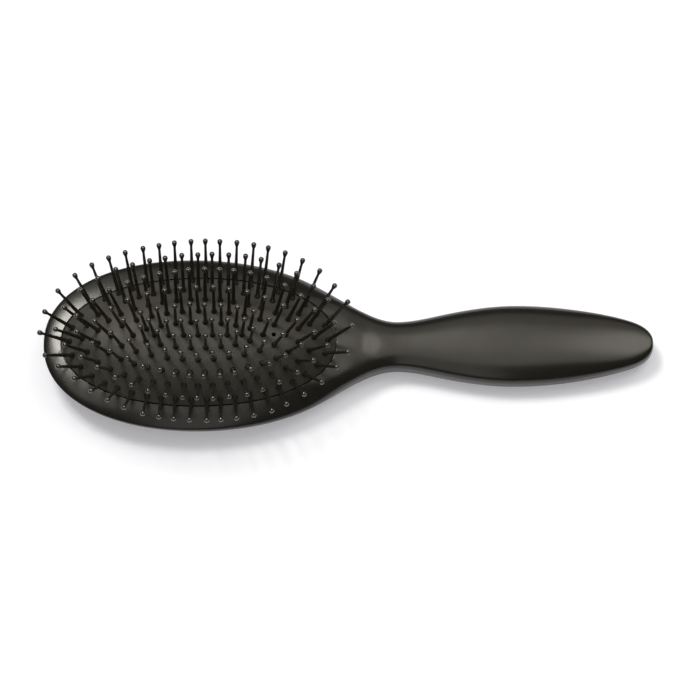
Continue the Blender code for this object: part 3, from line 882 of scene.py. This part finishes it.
def table_top():
    """White table top; camera and glossy rays see it a little lifted, and it keeps its shadow."""
    nodes = Nodes("white_table")
    cloud = nodes.noise(nodes.where(), scale=3.0)
    nodes.shade("Base Color", nodes.ramp(cloud, FLOOR_COLOURS, low=0.2, high=0.8))
    nodes.shade("Roughness", FLOOR_ROUGHNESS)
    nodes.shade("Specular IOR Level", 0.0)
    rays = nodes.add("ShaderNodeLightPath").outputs
    seen = nodes.calculated("MAXIMUM", rays["Is Camera Ray"], rays["Is Glossy Ray"])
    nodes.shade("Emission Color", FLOOR_LIFT_COLOUR)
    nodes.shade("Emission Strength", nodes.calculated("MULTIPLY", seen, FLOOR_LIFT))
    return nodes.material


# Stage, light and camera

FLOOR_HALF_SIZE = 3.0

WORLD_COLOUR = (0.97, 0.98, 1.0, 1.0)
WORLD_SEEN = 1.0
WORLD_FILL = 0.15
WORLD_IN_GLOSS = 0.1

BRUSH_CENTRE = (0.0, 0.0, 0.0)
GRIP_END = (0.08, 0.0, 0.0)
HEAD_FRONT = (-0.05, 0.0, 0.02)

CAMERA_TILT_DEGREES = 18.0
CAMERA_ROLL_DEGREES = 0.37
CAMERA_DISTANCE = 1.813
# What the camera looks at, in the construction frame
CAMERA_AIM = (57.16 * MM, -3.94 * MM, 1.0 * MM)
# Half the picture's width and the lens's focal length, in pixels
HALF_PICTURE = 350
FOCAL_LENGTH = 4800


def make_floor():
    """Flat white table top under the brush."""
    mesh = bpy.data.meshes.new("floor")
    half = FLOOR_HALF_SIZE
    corners = [(-half, -half, 0.0), (half, -half, 0.0), (half, half, 0.0), (-half, half, 0.0)]
    mesh.from_pydata(corners, [], [(0, 1, 2, 3)])
    mesh.materials.append(table_top())
    floor = bpy.data.objects.new("floor", mesh)
    bpy.context.scene.collection.objects.link(floor)


def make_world():
    """White behind everything; it lights the object only dimly."""
    world = bpy.data.worlds.new("studio")
    bpy.context.scene.world = world
    world.use_nodes = True
    tree = world.node_tree
    background = tree.nodes["Background"]
    background.inputs["Color"].default_value = WORLD_COLOUR
    path = tree.nodes.new("ShaderNodeLightPath")
    unseen = tree.nodes.new("ShaderNodeMapRange")
    unseen.inputs["To Min"].default_value = WORLD_FILL
    unseen.inputs["To Max"].default_value = WORLD_IN_GLOSS
    tree.links.new(path.outputs["Is Glossy Ray"], unseen.inputs["Value"])
    level = tree.nodes.new("ShaderNodeMapRange")
    level.inputs["To Max"].default_value = WORLD_SEEN
    tree.links.new(unseen.outputs["Result"], level.inputs["To Min"])
    tree.links.new(path.outputs["Is Camera Ray"], level.inputs["Value"])
    tree.links.new(level.outputs["Result"], background.inputs["Strength"])


def make_camera():
    """Long lens, tilted off the vertical, rolled a little so that the grip's end rises."""
    tilt = math.radians(CAMERA_TILT_DEGREES)
    roll = math.radians(CAMERA_ROLL_DEGREES)
    back = Vector((0.0, -math.sin(tilt), math.cos(tilt)))
    right = Vector((1.0, 0.0, 0.0))
    up = back.cross(right)
    turned_right = right * math.cos(roll) - up * math.sin(roll)
    turned_up = up * math.cos(roll) + right * math.sin(roll)
    data = bpy.data.cameras.new("camera")
    data.sensor_width = 36.0
    data.angle = 2 * math.atan(HALF_PICTURE / FOCAL_LENGTH)
    data.clip_start = 0.05
    data.clip_end = 50.0
    camera = bpy.data.objects.new("camera", data)
    rotation = Matrix((turned_right, turned_up, back)).transposed()
    place = Vector(CAMERA_AIM) + OFFSET + back * CAMERA_DISTANCE
    camera.matrix_world = Matrix.Translation(place) @ rotation.to_4x4()
    bpy.context.scene.collection.objects.link(camera)
    bpy.context.scene.camera = camera


def add_softbox(name, place, target, size, power, colour):
    """Rectangular area lamp at a place, turned to its target."""
    data = bpy.data.lights.new(name, "AREA")
    data.shape = "RECTANGLE"
    data.size, data.size_y = size
    data.energy = power
    data.color = colour
    made = bpy.data.objects.new(name, data)
    made.location = place
    made.rotation_euler = (Vector(target) - Vector(place)).to_track_quat("-Z", "Y").to_euler()
    bpy.context.scene.collection.objects.link(made)


handle = make_handle(lacquer())
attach(handle, "root")
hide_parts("handle")

cushion = make_cushion(rubber())
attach(cushion, "root")
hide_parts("cushion")
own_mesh(cushion)

make_pins(nylon())
make_floor()
make_world()
make_camera()
add_softbox(
    "key_softbox",
    place=(-0.606, 0.697, 1.774),
    target=BRUSH_CENTRE,
    size=(0.56, 0.56),
    power=21.8,
    colour=(1.0, 0.965, 0.9),
)
add_softbox(
    "overhead_panel",
    place=(0.0, 0.38, 1.963),
    target=BRUSH_CENTRE,
    size=(1.78, 1.46),
    power=9.4,
    colour=(1.0, 0.945, 0.84),
)
add_softbox(
    "back_panel",
    place=(0.0, 1.377, 1.451),
    target=BRUSH_CENTRE,
    size=(2.3, 0.89),
    power=3.9,
    colour=(1.0, 0.945, 0.84),
)
add_softbox(
    "grip_end_panel",
    place=(0.57, 0.34, 0.924),
    target=GRIP_END,
    size=(0.45, 0.7),
    power=2.5,
    colour=(1.0, 0.95, 0.86),
)
add_softbox(
    "front_card",
    place=(-0.05, -0.33, 0.445),
    target=HEAD_FRONT,
    size=(0.18, 0.6),
    power=0.27,
    colour=(1.0, 0.97, 0.92),
)
bpy.context.scene.view_settings.view_transform = "Standard"
